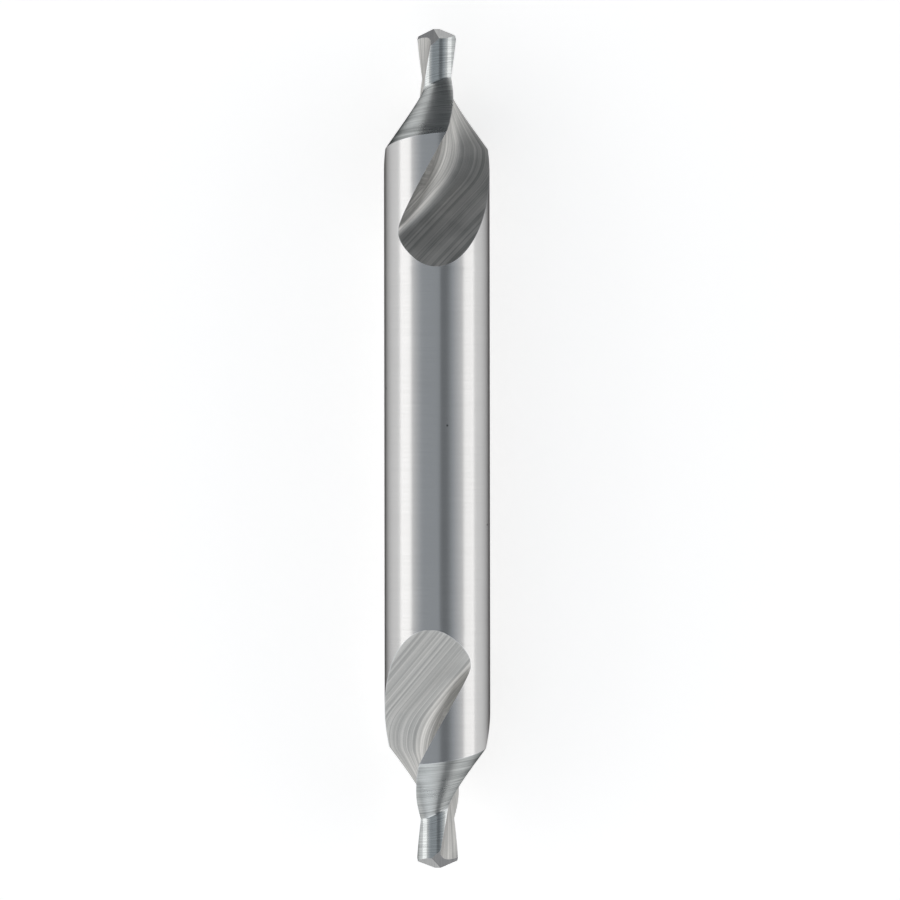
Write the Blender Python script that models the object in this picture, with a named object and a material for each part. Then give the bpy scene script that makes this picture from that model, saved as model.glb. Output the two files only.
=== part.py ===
"""Centre drill: a double-ended drill and 60 degree countersink, ground from one bar of solid carbide.

Lengths are in metres and angles in degrees. The bar lies along Y on the plane Z = 0, first end at +Y,
and the origin is under its middle. Each end is worked out in the same end coordinates:
    depth   distance from the tip, along the axis, into the bar
    angle   turn about the axis from straight up, positive towards the right seen with the tip ahead
    radius  distance from the axis
The second end is the first one turned end for end about the vertical, with its own starting angle.

Each nose is turned and form relieved, the point gets four flat facets, and two helical flutes are
ground out of each end. A flute has a rake face that points at the axis, a wide round root and a flat
back face. Where the wheel leaves the bar the back face stops twisting and becomes one sloping plane,
the root gets tighter, and the rake face winds on until it runs out on the shank.
"""

import math

import bmesh
import bpy
from mathutils import Matrix, Vector

MM = 0.001

OVERALL_LENGTH = 25.0 * MM
SHANK_DIAMETER = 3.15 * MM

# Nose, measured at the cutting edge
PILOT_DIAMETER = 1.25 * MM
NECK_DIAMETER = 1.20 * MM
NECK_FILLET = 0.15 * MM
SHANK_CORNER_DEPTH = 3.15 * MM
COUNTERSINK_ANGLE = 60.0
CONE_RELIEF = 0.43 * MM
PILOT_RELIEF = 0.05 * MM
RELIEF_POWER = 1.6

# Point
POINT_ANGLE = 152.0
PRIMARY_CLEARANCE = 25.0
SECONDARY_CLEARANCE = 51.0
RIDGE_ANGLE = 56.0
RIDGE_OFFSET = 0.09 * MM

# Flutes
HELIX_ANGLE = 29.0
ROOT_RADIUS = 1.00 * MM
RAKE_HOLLOW = 0.05 * MM
BACK_FACE_LEAN = 13.2
BACK_FACE_OFFSET = 0.02 * MM
RUNOUT_DEPTH = 4.31 * MM
RUNOUT_BLEND = 0.50 * MM
RUNOUT_ANGLE = 29.0
RUNOUT_ROOT_RADIUS = 0.10 * MM

# Angle of the first cutting edge where the countersink meets the shank
EDGE_ANGLES = {"first": 10.3, "second": 19.9}

# Fineness of the mesh and of the sums
HALVINGS = 40
PLANE_TOLERANCE = 1e-9
COLUMNS = 72
PILOT_ROWS = 6
CONE_ROWS = 9
FILLET_STEPS = 3
FLUTE_STEP = 0.16 * MM
RAKE_STEPS = 4
ROOT_STEPS = 8
BACK_STEPS = 4
OUTER_STEPS = 5

CARBIDE_COLOUR = (0.42, 0.43, 0.44, 1.0)
CARBIDE_ROUGHNESS = 0.25
SHARP_ANGLE = 20.0

SHANK_RADIUS = SHANK_DIAMETER / 2
PILOT_RADIUS = PILOT_DIAMETER / 2
NECK_RADIUS = NECK_DIAMETER / 2
CONE_SLOPE = math.tan(math.radians(COUNTERSINK_ANGLE / 2))
NECK_DEPTH = SHANK_CORNER_DEPTH - (SHANK_RADIUS - NECK_RADIUS) / CONE_SLOPE
POINT_HALF = math.radians(POINT_ANGLE / 2)
LIP_DEPTH = PILOT_RADIUS / math.tan(POINT_HALF)
TURN_PER_LENGTH = 360.0 * math.tan(math.radians(HELIX_ANGLE)) / (math.pi * SHANK_DIAMETER)
LAND_ANGLE = 90.0 - BACK_FACE_LEAN + math.degrees(math.asin(BACK_FACE_OFFSET / SHANK_RADIUS))
# The blank and the cutters pass the finished surfaces by this much
GRINDING_ALLOWANCE = 0.3 * MM
# Across the drill a flute's cutter reaches out to the first radius, and its rake face turns with the
# helix until it meets the back face at the second
CUTTER_REACH = 1.5 * SHANK_RADIUS
RAKE_LIMIT = 1.2 * SHANK_RADIUS


def clear_scene():
    for thing in list(bpy.data.objects):
        bpy.data.objects.remove(thing, do_unlink=True)


def carbide_material():
    material = bpy.data.materials.new("ground_carbide")
    material.use_nodes = True
    shader = material.node_tree.nodes["Principled BSDF"]
    shader.inputs["Base Color"].default_value = CARBIDE_COLOUR
    shader.inputs["Metallic"].default_value = 1.0
    shader.inputs["Roughness"].default_value = CARBIDE_ROUGHNESS
    return material


def end_placement(end):
    """Matrix from one end's own axes (right, inwards along the drill, up) to the part's."""
    tip = Matrix.Translation((0.0, OVERALL_LENGTH / 2, 0.0)) @ Matrix.Diagonal((1.0, -1.0, 1.0, 1.0))
    turn = Matrix.Rotation(math.pi if end == "second" else 0.0, 4, "Z")
    return Matrix.Translation((0.0, 0.0, SHANK_RADIUS)) @ turn @ tip


def ray(angle):
    """Unit vector across the drill at an angle from straight up."""
    turn = math.radians(angle)
    return Vector((math.sin(turn), 0.0, math.cos(turn)))


def at_depth(across, depth):
    return Vector((across.x, depth, across.z))


def edge_angle(end, depth):
    """Angle of the first cutting edge, which winds round the drill with the helix."""
    return EDGE_ANGLES[end] - TURN_PER_LENGTH * (depth - SHANK_CORNER_DEPTH)


def relief_share(end, depth, angle):
    """How far the form relief has gone, from 0 at a cutting edge to 1 at the heel of its land.

    The relieving wheel comes back for the next land in the space that the flute takes away.
    """
    flute_angle = 180.0 - LAND_ANGLE
    behind = (edge_angle(end, depth) - angle + flute_angle / 4) % 180.0 - flute_angle / 4
    turning_point = LAND_ANGLE + flute_angle / 4
    if behind <= turning_point:
        return (max(behind, 0.0) / LAND_ANGLE) ** RELIEF_POWER
    left = (180.0 - flute_angle / 4 - behind) / (180.0 - flute_angle / 4 - turning_point)
    return left * (turning_point / LAND_ANGLE) ** RELIEF_POWER


def pilot_radius(end, depth, angle):
    taper = (PILOT_RADIUS - NECK_RADIUS) / (NECK_DEPTH - LIP_DEPTH)
    radius = PILOT_RADIUS - taper * (depth - LIP_DEPTH)
    return radius - PILOT_RELIEF * relief_share(end, depth, angle)


def cone_radius(end, depth, angle):
    relieved = depth - CONE_RELIEF * relief_share(end, depth, angle)
    return SHANK_RADIUS - (SHANK_CORNER_DEPTH - relieved) * CONE_SLOPE


def depth_where(rises_through_zero, low, high):
    """Depth at which a rising function passes zero, by halving the interval."""
    for _ in range(HALVINGS):
        middle = (low + high) / 2
        if rises_through_zero(middle) < 0:
            low = middle
        else:
            high = middle
    return (low + high) / 2


def neck_fillet(depth, radius):
    """Points of the small radius between pilot and countersink, about their sharp corner."""
    lean = math.radians(COUNTERSINK_ANGLE / 2)
    start = depth - NECK_FILLET * math.tan(lean / 2)
    for step in range(FILLET_STEPS + 1):
        turn = lean * step / FILLET_STEPS
        yield start + NECK_FILLET * math.sin(turn), radius + NECK_FILLET * (1 - math.cos(turn))


def nose_outline(end, angle):
    """Depths and radii of the blank along one line at a fixed angle, from the tip to the shank."""
    deepest = OVERALL_LENGTH / 2
    neck = depth_where(
        lambda depth: cone_radius(end, depth, angle) - pilot_radius(end, depth, angle), 0.0, deepest
    )
    corner = depth_where(lambda depth: cone_radius(end, depth, angle) - SHANK_RADIUS, neck, deepest)
    fillet = list(neck_fillet(neck, pilot_radius(end, neck, angle)))
    front, back = fillet[0][0], fillet[-1][0]
    outline = []
    for row in range(PILOT_ROWS):
        depth = -GRINDING_ALLOWANCE + (front + GRINDING_ALLOWANCE) * row / PILOT_ROWS
        outline.append((depth, pilot_radius(end, depth, angle)))
    outline.extend(fillet)
    for row in range(1, CONE_ROWS):
        depth = back + (corner - back) * row / CONE_ROWS
        outline.append((depth, cone_radius(end, depth, angle)))
    outline.append((corner, SHANK_RADIUS))
    return outline


def nose_rings(mesh, end):
    """Rings of vertices over one nose, tip first. Both ends share the same lines along the bar."""
    side = -1.0 if end == "second" else 1.0
    placement = end_placement(end)
    lines = []
    for column in range(COLUMNS):
        angle = side * 360.0 * (column + 0.5) / COLUMNS
        points = [at_depth(ray(angle) * radius, depth) for depth, radius in nose_outline(end, angle)]
        lines.append([mesh.verts.new(placement @ point) for point in points])
    return [list(ring) for ring in zip(*lines)]


def skin(mesh, rings):
    """Closed body over a run of rings, with a flat cap at each end."""
    for ring, following in zip(rings, rings[1:]):
        for here in range(len(ring)):
            after = (here + 1) % len(ring)
            mesh.faces.new((ring[here], ring[after], following[after], following[here]))
    mesh.faces.new(rings[0])
    mesh.faces.new(rings[-1])
    bmesh.ops.recalc_face_normals(mesh, faces=mesh.faces)


def facet_planes(end):
    """The four ground planes of a point: a point on each and its outward normal, in end axes."""
    inwards = Vector((0.0, 1.0, 0.0))
    planes = []
    for half_turn in (0.0, 180.0):
        lip = edge_angle(end, LIP_DEPTH / 2) + half_turn
        along_lip = ray(lip) * math.sin(POINT_HALF) + inwards * math.cos(POINT_HALF)
        clearance = math.radians(PRIMARY_CLEARANCE)
        behind = ray(lip - 90.0) * math.cos(clearance) + inwards * math.sin(clearance)
        primary = outward_normal(along_lip, behind)
        planes.append((Vector(), primary))

        ridge = lip - RIDGE_ANGLE
        along_ridge = in_plane(ray(ridge), primary)
        clearance = math.radians(SECONDARY_CLEARANCE)
        behind = ray(ridge - 90.0) * math.cos(clearance) + inwards * math.sin(clearance)
        start = in_plane(ray(ridge - 90.0), primary) * RIDGE_OFFSET
        planes.append((start, outward_normal(along_ridge, behind)))
    return planes


def outward_normal(one, other):
    normal = one.cross(other).normalized()
    return normal if normal.y < 0 else -normal


def in_plane(across, normal):
    """A direction across the drill, tilted along the axis until it lies in a plane through the tip."""
    return Vector((across.x, -(across.x * normal.x + across.z * normal.z) / normal.y, across.z))


def grind_point(mesh, end):
    """Cut the front of the blank back to the four facets."""
    placement = end_placement(end)
    for point, normal in facet_planes(end):
        bmesh.ops.bisect_plane(
            mesh,
            geom=mesh.verts[:] + mesh.edges[:] + mesh.faces[:],
            dist=PLANE_TOLERANCE,
            plane_co=placement @ point,
            plane_no=placement.to_3x3() @ normal,
            clear_outer=True,
        )
        open_edges = [edge for edge in mesh.edges if edge.is_boundary]
        bmesh.ops.holes_fill(mesh, edges=open_edges, sides=0)


def blank():
    """The turned bar with both relieved noses and both ground points, before its flutes."""
    mesh = bmesh.new()
    skin(mesh, nose_rings(mesh, "first") + nose_rings(mesh, "second")[::-1])
    grind_point(mesh, "first")
    grind_point(mesh, "second")
    return as_object("centre_drill", mesh)


def twisting_depth(depth):
    """Depth up to which the back face has twisted. It eases to a stop about the run-out depth."""
    start = RUNOUT_DEPTH - RUNOUT_BLEND
    if depth <= start:
        return depth
    if depth >= RUNOUT_DEPTH + RUNOUT_BLEND:
        return RUNOUT_DEPTH
    return depth - (depth - start) ** 2 / (4 * RUNOUT_BLEND)


def rake_face(angle, inner):
    """Points of the rake face from well outside the bar in to the root, hollow in between."""
    brim = max(SHANK_RADIUS, (inner + CUTTER_REACH) / 2)
    hollow = ray(angle - 90.0) * RAKE_HOLLOW * max(1 - inner / SHANK_RADIUS, 0.0)
    points = [ray(angle) * CUTTER_REACH]
    for step in range(RAKE_STEPS):
        share = step / RAKE_STEPS
        radius = brim + (inner - brim) * share
        points.append(ray(angle) * radius + hollow * math.sin(math.pi * share) ** 2)
    return points


def flute_section(end, depth):
    """Outline of the first flute across the drill at one depth, from the rake face round the root."""
    twisting = twisting_depth(depth)
    facing = edge_angle(end, twisting) + BACK_FACE_LEAN
    distance = BACK_FACE_OFFSET + (depth - twisting) * math.tan(math.radians(RUNOUT_ANGLE))
    rake = max(edge_angle(end, depth), facing - math.degrees(math.acos(distance / RAKE_LIMIT)))
    lean = facing - rake

    rise = (distance - BACK_FACE_OFFSET) / (SHANK_RADIUS - BACK_FACE_OFFSET)
    fillet = ROOT_RADIUS + (RUNOUT_ROOT_RADIUS - ROOT_RADIUS) * min(rise, 1.0)
    root = ray(rake) * (distance / math.cos(math.radians(lean)))
    setback = fillet * math.tan(math.radians(90.0 - lean) / 2)
    rake_start = root + ray(rake) * setback
    centre = rake_start + ray(rake + 90.0) * fillet
    back_start = root + ray(facing + 90.0) * setback
    heel = facing + math.degrees(math.acos(distance / CUTTER_REACH))
    back_end = ray(heel) * CUTTER_REACH

    outline = rake_face(rake, rake_start.length)
    for step in range(ROOT_STEPS + 1):
        turn = rake - 90.0 - (90.0 - lean) * step / ROOT_STEPS
        outline.append(centre + ray(turn) * fillet)
    outline += [back_start.lerp(back_end, step / BACK_STEPS) for step in range(1, BACK_STEPS + 1)]
    for step in range(1, OUTER_STEPS):
        outline.append(ray(heel + (rake - heel) * step / OUTER_STEPS) * CUTTER_REACH)
    return outline


def flute_depths():
    """Depths of the sections of a flute, with one where the run-out begins."""
    rise = SHANK_RADIUS - BACK_FACE_OFFSET
    leaves_bar = RUNOUT_DEPTH + rise / math.tan(math.radians(RUNOUT_ANGLE))
    stops = (-GRINDING_ALLOWANCE, RUNOUT_DEPTH + RUNOUT_BLEND, leaves_bar + GRINDING_ALLOWANCE / 2)
    depths = [stops[0]]
    for start, end in zip(stops, stops[1:]):
        count = math.ceil((end - start) / FLUTE_STEP)
        depths += [start + (end - start) * step / count for step in range(1, count + 1)]
    return depths


def flute_cutter(end, half_turn):
    """The solid that the grinding wheel sweeps for one flute."""
    mesh = bmesh.new()
    placement = end_placement(end) @ Matrix.Rotation(math.radians(half_turn), 4, "Y")
    rings = []
    for depth in flute_depths():
        section = flute_section(end, depth)
        rings.append([mesh.verts.new(placement @ at_depth(point, depth)) for point in section])
    skin(mesh, rings)
    cutter = as_object(f"flute_{end}_{half_turn}", mesh)
    cutter.hide_render = True
    cutter.display_type = "WIRE"
    return cutter


def as_object(name, mesh):
    data = bpy.data.meshes.new(name)
    mesh.to_mesh(data)
    mesh.free()
    thing = bpy.data.objects.new(name, data)
    bpy.context.scene.collection.objects.link(thing)
    return thing


def grind_flutes(drill):
    """Cut all four flutes and keep the result as the drill's own mesh."""
    cutters = [flute_cutter(end, half_turn) for end in EDGE_ANGLES for half_turn in (0, 180)]
    for cutter in cutters:
        cut = drill.modifiers.new(cutter.name, "BOOLEAN")
        cut.operation = "DIFFERENCE"
        cut.solver = "EXACT"
        cut.object = cutter
    bpy.context.view_layer.update()
    evaluated = drill.evaluated_get(bpy.context.evaluated_depsgraph_get())
    finished = bpy.data.meshes.new_from_object(evaluated)
    drill.modifiers.clear()
    drill.data = finished
    for cutter in cutters:
        bpy.data.objects.remove(cutter, do_unlink=True)


def build():
    clear_scene()
    drill = blank()
    grind_flutes(drill)
    drill.data.shade_smooth()
    drill.data.set_sharp_from_angle(angle=math.radians(SHARP_ANGLE))
    drill.data.materials.clear()
    drill.data.materials.append(carbide_material())


build()
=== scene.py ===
# %% [markdown]
# # Centre drill
# A centre drill starts a hole in the end of a bar for a lathe. It is ground from one short bar of
# solid carbide, with the same nose at each end: a small pilot drill that runs into a 60 degree
# countersink. This lesson dresses the measured model. The mesh is rebuilt finer from the same
# sizes, because a plain metal part shows every facet in its reflections, and then each ground
# surface gets its own finish.

# %% Load the measured model
import math

import bmesh
import bpy
import numpy as np
from mathutils import Matrix, Vector


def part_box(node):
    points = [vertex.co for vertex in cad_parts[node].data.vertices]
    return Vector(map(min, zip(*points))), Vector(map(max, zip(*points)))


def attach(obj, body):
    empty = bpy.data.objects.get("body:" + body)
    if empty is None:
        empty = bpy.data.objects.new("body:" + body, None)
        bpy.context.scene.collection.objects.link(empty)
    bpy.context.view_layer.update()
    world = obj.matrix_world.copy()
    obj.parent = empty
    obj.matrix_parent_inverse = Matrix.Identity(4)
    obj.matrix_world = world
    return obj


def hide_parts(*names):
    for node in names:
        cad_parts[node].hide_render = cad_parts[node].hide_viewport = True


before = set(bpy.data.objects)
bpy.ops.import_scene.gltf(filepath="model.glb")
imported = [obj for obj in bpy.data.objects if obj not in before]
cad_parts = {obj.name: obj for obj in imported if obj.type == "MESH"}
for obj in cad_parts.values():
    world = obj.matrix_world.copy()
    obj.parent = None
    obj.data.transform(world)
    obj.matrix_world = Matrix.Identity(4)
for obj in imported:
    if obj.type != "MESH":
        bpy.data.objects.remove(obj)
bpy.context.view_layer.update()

drill_low, drill_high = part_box("centre_drill")
print("measured model, mm:", [round(1000 * side, 3) for side in drill_high - drill_low])

# %% [markdown]
# ## The sizes
# The makers grind these by numbers, and so does this script. A nose is described from its tip: how
# deep into the bar, at what angle round it, and how far from the axis. Both ends then share one
# description, and the second end is the first one turned end for end, so that a change is made only
# once.

# %% Sizes of the bar and its noses
MM = 0.001
OVERALL_LENGTH = drill_high.y - drill_low.y
SHANK_RADIUS = 3.15 * MM / 2
PILOT_RADIUS = 1.25 * MM / 2
NECK_RADIUS = 1.20 * MM / 2
NECK_FILLET = 0.15 * MM
SHANK_CORNER_DEPTH = 3.15 * MM
CONE_HALF_ANGLE = math.radians(60.0 / 2)
CONE_SLOPE = math.tan(CONE_HALF_ANGLE)
CONE_RELIEF = 0.43 * MM
PILOT_RELIEF = 0.05 * MM
RELIEF_POWER = 1.6

HELIX_ANGLE = 29.0
TURN_PER_LENGTH = math.degrees(math.tan(math.radians(HELIX_ANGLE)) / SHANK_RADIUS)
EDGE_ANGLES = {"first": 10.3, "second": 19.9}


def end_placement(end):
    """From one end's own axes (right, into the bar, up) to the frame's."""
    into_bar = Matrix.Diagonal((1.0, -1.0, 1.0, 1.0))
    tip = Matrix.Translation((0.0, OVERALL_LENGTH / 2, 0.0)) @ into_bar
    turn = Matrix.Rotation(math.pi if end == "second" else 0.0, 4, "Z")
    return Matrix.Translation((0.0, 0.0, SHANK_RADIUS)) @ turn @ tip


print("helix turns", round(TURN_PER_LENGTH * MM, 2), "degrees in each mm")

# %% [markdown]
# ## The turned and relieved nose
# Behind each cutting edge the wheel grinds the metal away a little more the further it goes, so
# that only the edge touches the work. That is form relief. It moves the whole profile back along
# the drill, which is why the line between the countersink and the shank slants. A plain turned cone
# would meet the shank in a circle, so one formula gives the radius at any depth and angle instead.

# %% Radius of the blank before its flutes
BACK_FACE_LEAN = 13.2
BACK_FACE_OFFSET = 0.02 * MM
LAND_ANGLE = 90.0 - BACK_FACE_LEAN + math.degrees(math.asin(BACK_FACE_OFFSET / SHANK_RADIUS))
NECK_DEPTH = SHANK_CORNER_DEPTH - (SHANK_RADIUS - NECK_RADIUS) / CONE_SLOPE


def edge_angle(end, depth):
    """Angle of a cutting edge in degrees, which winds round the bar with the depth."""
    return EDGE_ANGLES[end] - TURN_PER_LENGTH * (depth - SHANK_CORNER_DEPTH)


def relief_share(end, depth, angle):
    """0 at a cutting edge, 1 at the heel of its land, and back to 0 within the flute."""
    gap = (180.0 - LAND_ANGLE) / 4
    behind = (edge_angle(end, depth) - angle + gap) % 180.0 - gap
    turning = LAND_ANGLE + gap
    growing = (np.maximum(behind, 0.0) / LAND_ANGLE) ** RELIEF_POWER
    most = (turning / LAND_ANGLE) ** RELIEF_POWER
    returning = (180.0 - gap - behind) / (180.0 - gap - turning) * most
    return np.where(behind <= turning, growing, returning)


def blank_radius(end, depth, angle):
    """Radius of the relieved pilot, fillet, countersink or shank, whichever is there."""
    share = relief_share(end, depth, angle)
    taper = (PILOT_RADIUS - NECK_RADIUS) / NECK_DEPTH
    pilot = PILOT_RADIUS - taper * depth - PILOT_RELIEF * share
    cone = SHANK_RADIUS - (SHANK_CORNER_DEPTH - depth + CONE_RELIEF * share) * CONE_SLOPE
    start = -NECK_FILLET * math.tan(CONE_HALF_ANGLE / 2)
    into_fillet = (cone - pilot) / CONE_SLOPE - start
    bend = NECK_FILLET - np.sqrt(NECK_FILLET**2 - np.clip(into_fillet, 0.0, NECK_FILLET) ** 2)
    in_fillet = (into_fillet > 0.0) & (into_fillet < NECK_FILLET * math.sin(CONE_HALF_ANGLE))
    nose = np.where(in_fillet, pilot + bend, np.maximum(pilot, cone))
    return np.minimum(nose, SHANK_RADIUS)


print("radius at the neck, mm:", round(float(blank_radius("first", NECK_DEPTH, 0.0)) / MM, 3))

# %% [markdown]
# ## The section of a flute
# A grinding wheel cuts the flute. Across the drill it leaves a rake face that points at the axis, a
# round root and a flat back face. At the end of its cut the wheel lifts out: the back face stops
# twisting and becomes a sloping flat, slightly crowned by the worn wheel, and the root gets tight.
# A Boolean cut would do it too, but it leaves ragged faces that show in polished metal. So the
# outline is worked out at any depth. Against the measured model it adds the crown and a softer
# corner at the run-out.

# %% Parts of a flute's outline
ROOT_RADIUS = 1.00 * MM
RAKE_HOLLOW = 0.05 * MM
RUNOUT_DEPTH = 4.31 * MM
RUNOUT_BLEND = 0.50 * MM
RUNOUT_SLOPE = math.tan(math.radians(29.0))
RUNOUT_ROOT_RADIUS = 0.50 * MM
RUNOUT_END = RUNOUT_DEPTH + (SHANK_RADIUS - BACK_FACE_OFFSET) / RUNOUT_SLOPE
CROWN = {"first": 0.04 * MM, "second": 0.11 * MM}
CROWN_START = 0.2 * SHANK_RADIUS
CUTTER_REACH = 1.5 * SHANK_RADIUS
RAKE_LIMIT = 1.08 * SHANK_RADIUS
RAKE_BLEND = 18.0
RAKE_STEPS, ROOT_STEPS, BACK_STEPS = 24, 40, 24


def ray(angle):
    """A direction across the drill, 0 straight up and 90 to the right."""
    turn = math.radians(angle)
    return Vector((math.sin(turn), math.cos(turn)))


def twisting_depth(depth):
    """Depth up to which the back face has twisted. It eases to a stop about the run-out depth."""
    start = RUNOUT_DEPTH - RUNOUT_BLEND
    if depth <= start:
        return depth
    if depth >= RUNOUT_DEPTH + RUNOUT_BLEND:
        return RUNOUT_DEPTH
    return depth - (depth - start) ** 2 / (4 * RUNOUT_BLEND)


def rake_face(angle, inner):
    """The slightly hollow rake face, from outside the bar down to where the root begins."""
    brim = max(SHANK_RADIUS, (inner + CUTTER_REACH) / 2)
    hollow = ray(angle - 90.0) * RAKE_HOLLOW * max(1 - inner / SHANK_RADIUS, 0.0)
    line = [ray(angle) * CUTTER_REACH]
    for step in range(RAKE_STEPS):
        share = step / RAKE_STEPS
        plain = ray(angle) * (brim + (inner - brim) * share)
        line.append(plain + hollow * math.sin(math.pi * share) ** 2)
    return line


def crowned(end, point, facing, depth):
    """The wheel's face is a little round, so the run-out's flat sinks towards the rake side."""
    aside = CROWN_START - point.dot(ray(facing + 90.0))
    share = min(max((depth - RUNOUT_DEPTH) / RUNOUT_BLEND, 0.0), 1.0)
    return point - ray(facing) * CROWN[end] * share * (max(aside, 0.0) / SHANK_RADIUS) ** 2


def larger_of(one, other):
    """The larger angle, with a soft change between the two, which rounds the run-out's corner."""
    closeness = max(RAKE_BLEND - abs(one - other), 0.0) / RAKE_BLEND
    return max(one, other) + closeness**2 * RAKE_BLEND / 4


print("a flute leaves the bar at", round(RUNOUT_END / MM, 2), "mm from the tip")

# %% [markdown]
# The outline joins these parts. The root is an arc that touches the rake face at one end and the
# back face at the other, so the light runs over both joins without a break.

# %% Outline of a flute across the drill
def flute_outline(end, depth):
    """Points across the drill, from outside the bar down the rake face and out by the back face."""
    twisting = twisting_depth(depth)
    facing = edge_angle(end, twisting) + BACK_FACE_LEAN
    distance = BACK_FACE_OFFSET + (depth - twisting) * RUNOUT_SLOPE
    limit = facing - math.degrees(math.acos(distance / RAKE_LIMIT))
    rake = larger_of(edge_angle(end, depth), limit)
    lean = facing - rake
    rise = (distance - BACK_FACE_OFFSET) / (SHANK_RADIUS - BACK_FACE_OFFSET)
    fillet = ROOT_RADIUS + (RUNOUT_ROOT_RADIUS - ROOT_RADIUS) * min(rise, 1.0)
    root = ray(rake) * (distance / math.cos(math.radians(lean)))
    setback = fillet * math.tan(math.radians(90.0 - lean) / 2)
    rake_start = root + ray(rake) * setback
    centre = rake_start + ray(rake + 90.0) * fillet
    back_start = root + ray(facing + 90.0) * setback
    back_end = ray(facing + math.degrees(math.acos(distance / CUTTER_REACH))) * CUTTER_REACH
    line = rake_face(rake, rake_start.length)
    for step in range(ROOT_STEPS + 1):
        line.append(centre + ray(rake - 90.0 - (90.0 - lean) * step / ROOT_STEPS) * fillet)
    line += [back_start.lerp(back_end, step / BACK_STEPS) for step in range(1, BACK_STEPS + 1)]
    return [crowned(end, point, facing, depth) for point in line]


print("points in an outline:", len(flute_outline("first", SHANK_CORNER_DEPTH)))

# %% [markdown]
# ## Where a flute meets the bar
# The first crossing of the outline with the bar is the cutting edge, and the last one is the heel.
# Both are found by halving. The wall between them is then drawn again with its points closer
# together where it bends, so that the tight root of the run-out stays round.

# %% Wall of a flute from cutting edge to heel
WALL_COLUMNS = 52
HALVINGS = 30
LEAST_BEND = 0.2


def angle_of(point):
    return math.degrees(math.atan2(point.x, point.y))


def meeting_point(end, depth, outside, inside):
    """Where the line from a point outside the blank to one inside it crosses the surface."""
    for _ in range(HALVINGS):
        middle = (outside + inside) / 2
        if middle.length > blank_radius(end, depth, angle_of(middle)):
            outside = middle
        else:
            inside = middle
    return inside


def spaced_out(line, count):
    """The same line with count steps, shared out half by length and half by bending."""
    steps = [after - before for before, after in zip(line, line[1:])]
    lengths = np.array([step.length for step in steps])
    bends = np.array([0.0] + [one.angle(other, 0.0) for one, other in zip(steps, steps[1:])])
    weights = lengths / lengths.sum() + bends / (bends.sum() + LEAST_BEND)
    place = np.concatenate(([0.0], np.cumsum(weights))) / weights.sum()
    wanted = np.linspace(0.0, 1.0, count + 1)
    return np.stack([np.interp(wanted, place, values) for values in np.array(line).T], axis=1)


def flute_wall(end, depth):
    line = flute_outline(end, depth)
    blank = [blank_radius(end, depth, angle_of(point)) for point in line]
    within = [n for n, point in enumerate(line) if point.length < blank[n]]
    if not within:
        apex = ray(edge_angle(end, RUNOUT_DEPTH) + BACK_FACE_LEAN) * SHANK_RADIUS
        return np.array([apex] * (WALL_COLUMNS + 1))
    first, last = within[0], within[-1]
    edge = meeting_point(end, depth, line[first - 1], line[first])
    heel = meeting_point(end, depth, line[last + 1], line[last])
    return spaced_out([edge] + line[first : last + 1] + [heel], WALL_COLUMNS)


middle_wall = flute_wall("first", SHANK_CORNER_DEPTH)
mouth = np.linalg.norm(middle_wall[0] - middle_wall[-1])
print("flute mouth at the shank corner, mm:", round(mouth / MM, 2))

# %% [markdown]
# ## Rings along one end
# The skin is a stack of rings, so its faces run along the drill like the grinding does, and each
# cutting edge, heel and corner is one clean line of edges. On the lands a ring is shifted back by
# the relief, which puts the slanting corner between countersink and shank on a single ring.

# %% Depths of the rings
LAND_COLUMNS = 60
GRINDING_ALLOWANCE = 0.3 * MM

# Each pair is a depth and the number of rings from there to the next one.
ROW_STARTS = [(-GRINDING_ALLOWANCE, 24), (1.2 * MM, 22), (1.8 * MM, 24), (SHANK_CORNER_DEPTH, 18)]
RUNOUT_ROWS = 56
SHIFT_START = 0.2 * MM
SHIFT_FADE, SHIFT_END = 3.4 * MM, 5.4 * MM
SETTLING_ROUNDS = 25


def smooth_step(value, low, high):
    share = np.clip((value - low) / (high - low), 0.0, 1.0)
    return share * share * (3 - 2 * share)


def row_depths():
    """Depths of the rings, closest together where the shape changes most."""
    stops = [start for start, _ in ROW_STARTS[1:]] + [RUNOUT_DEPTH]
    rows = []
    for (start, count), stop in zip(ROW_STARTS, stops):
        rows.append(np.linspace(start, stop, count, endpoint=False))
    to_go = np.linspace(1.0, 0.0, RUNOUT_ROWS + 1) ** 2
    return np.concatenate(rows + [RUNOUT_END - (RUNOUT_END - RUNOUT_DEPTH) * to_go])


def shifted(end, rows, angles, amount):
    """Depths at which rows lie once the relief has moved them back, for rows by columns."""
    depths = rows + np.zeros_like(angles)
    for _ in range(SETTLING_ROUNDS):
        depths = rows + amount * CONE_RELIEF * relief_share(end, depths, angles)
    return depths


print("rings at each end:", len(row_depths()))

# %% [markdown]
# A ring has points of two kinds. Those of a land lie on the blank, and those of a wall lie on the
# section of the flute. The relief moves the heel of a land back, so the wall leans back with it
# towards that side, and the two kinds meet point by point.

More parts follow.
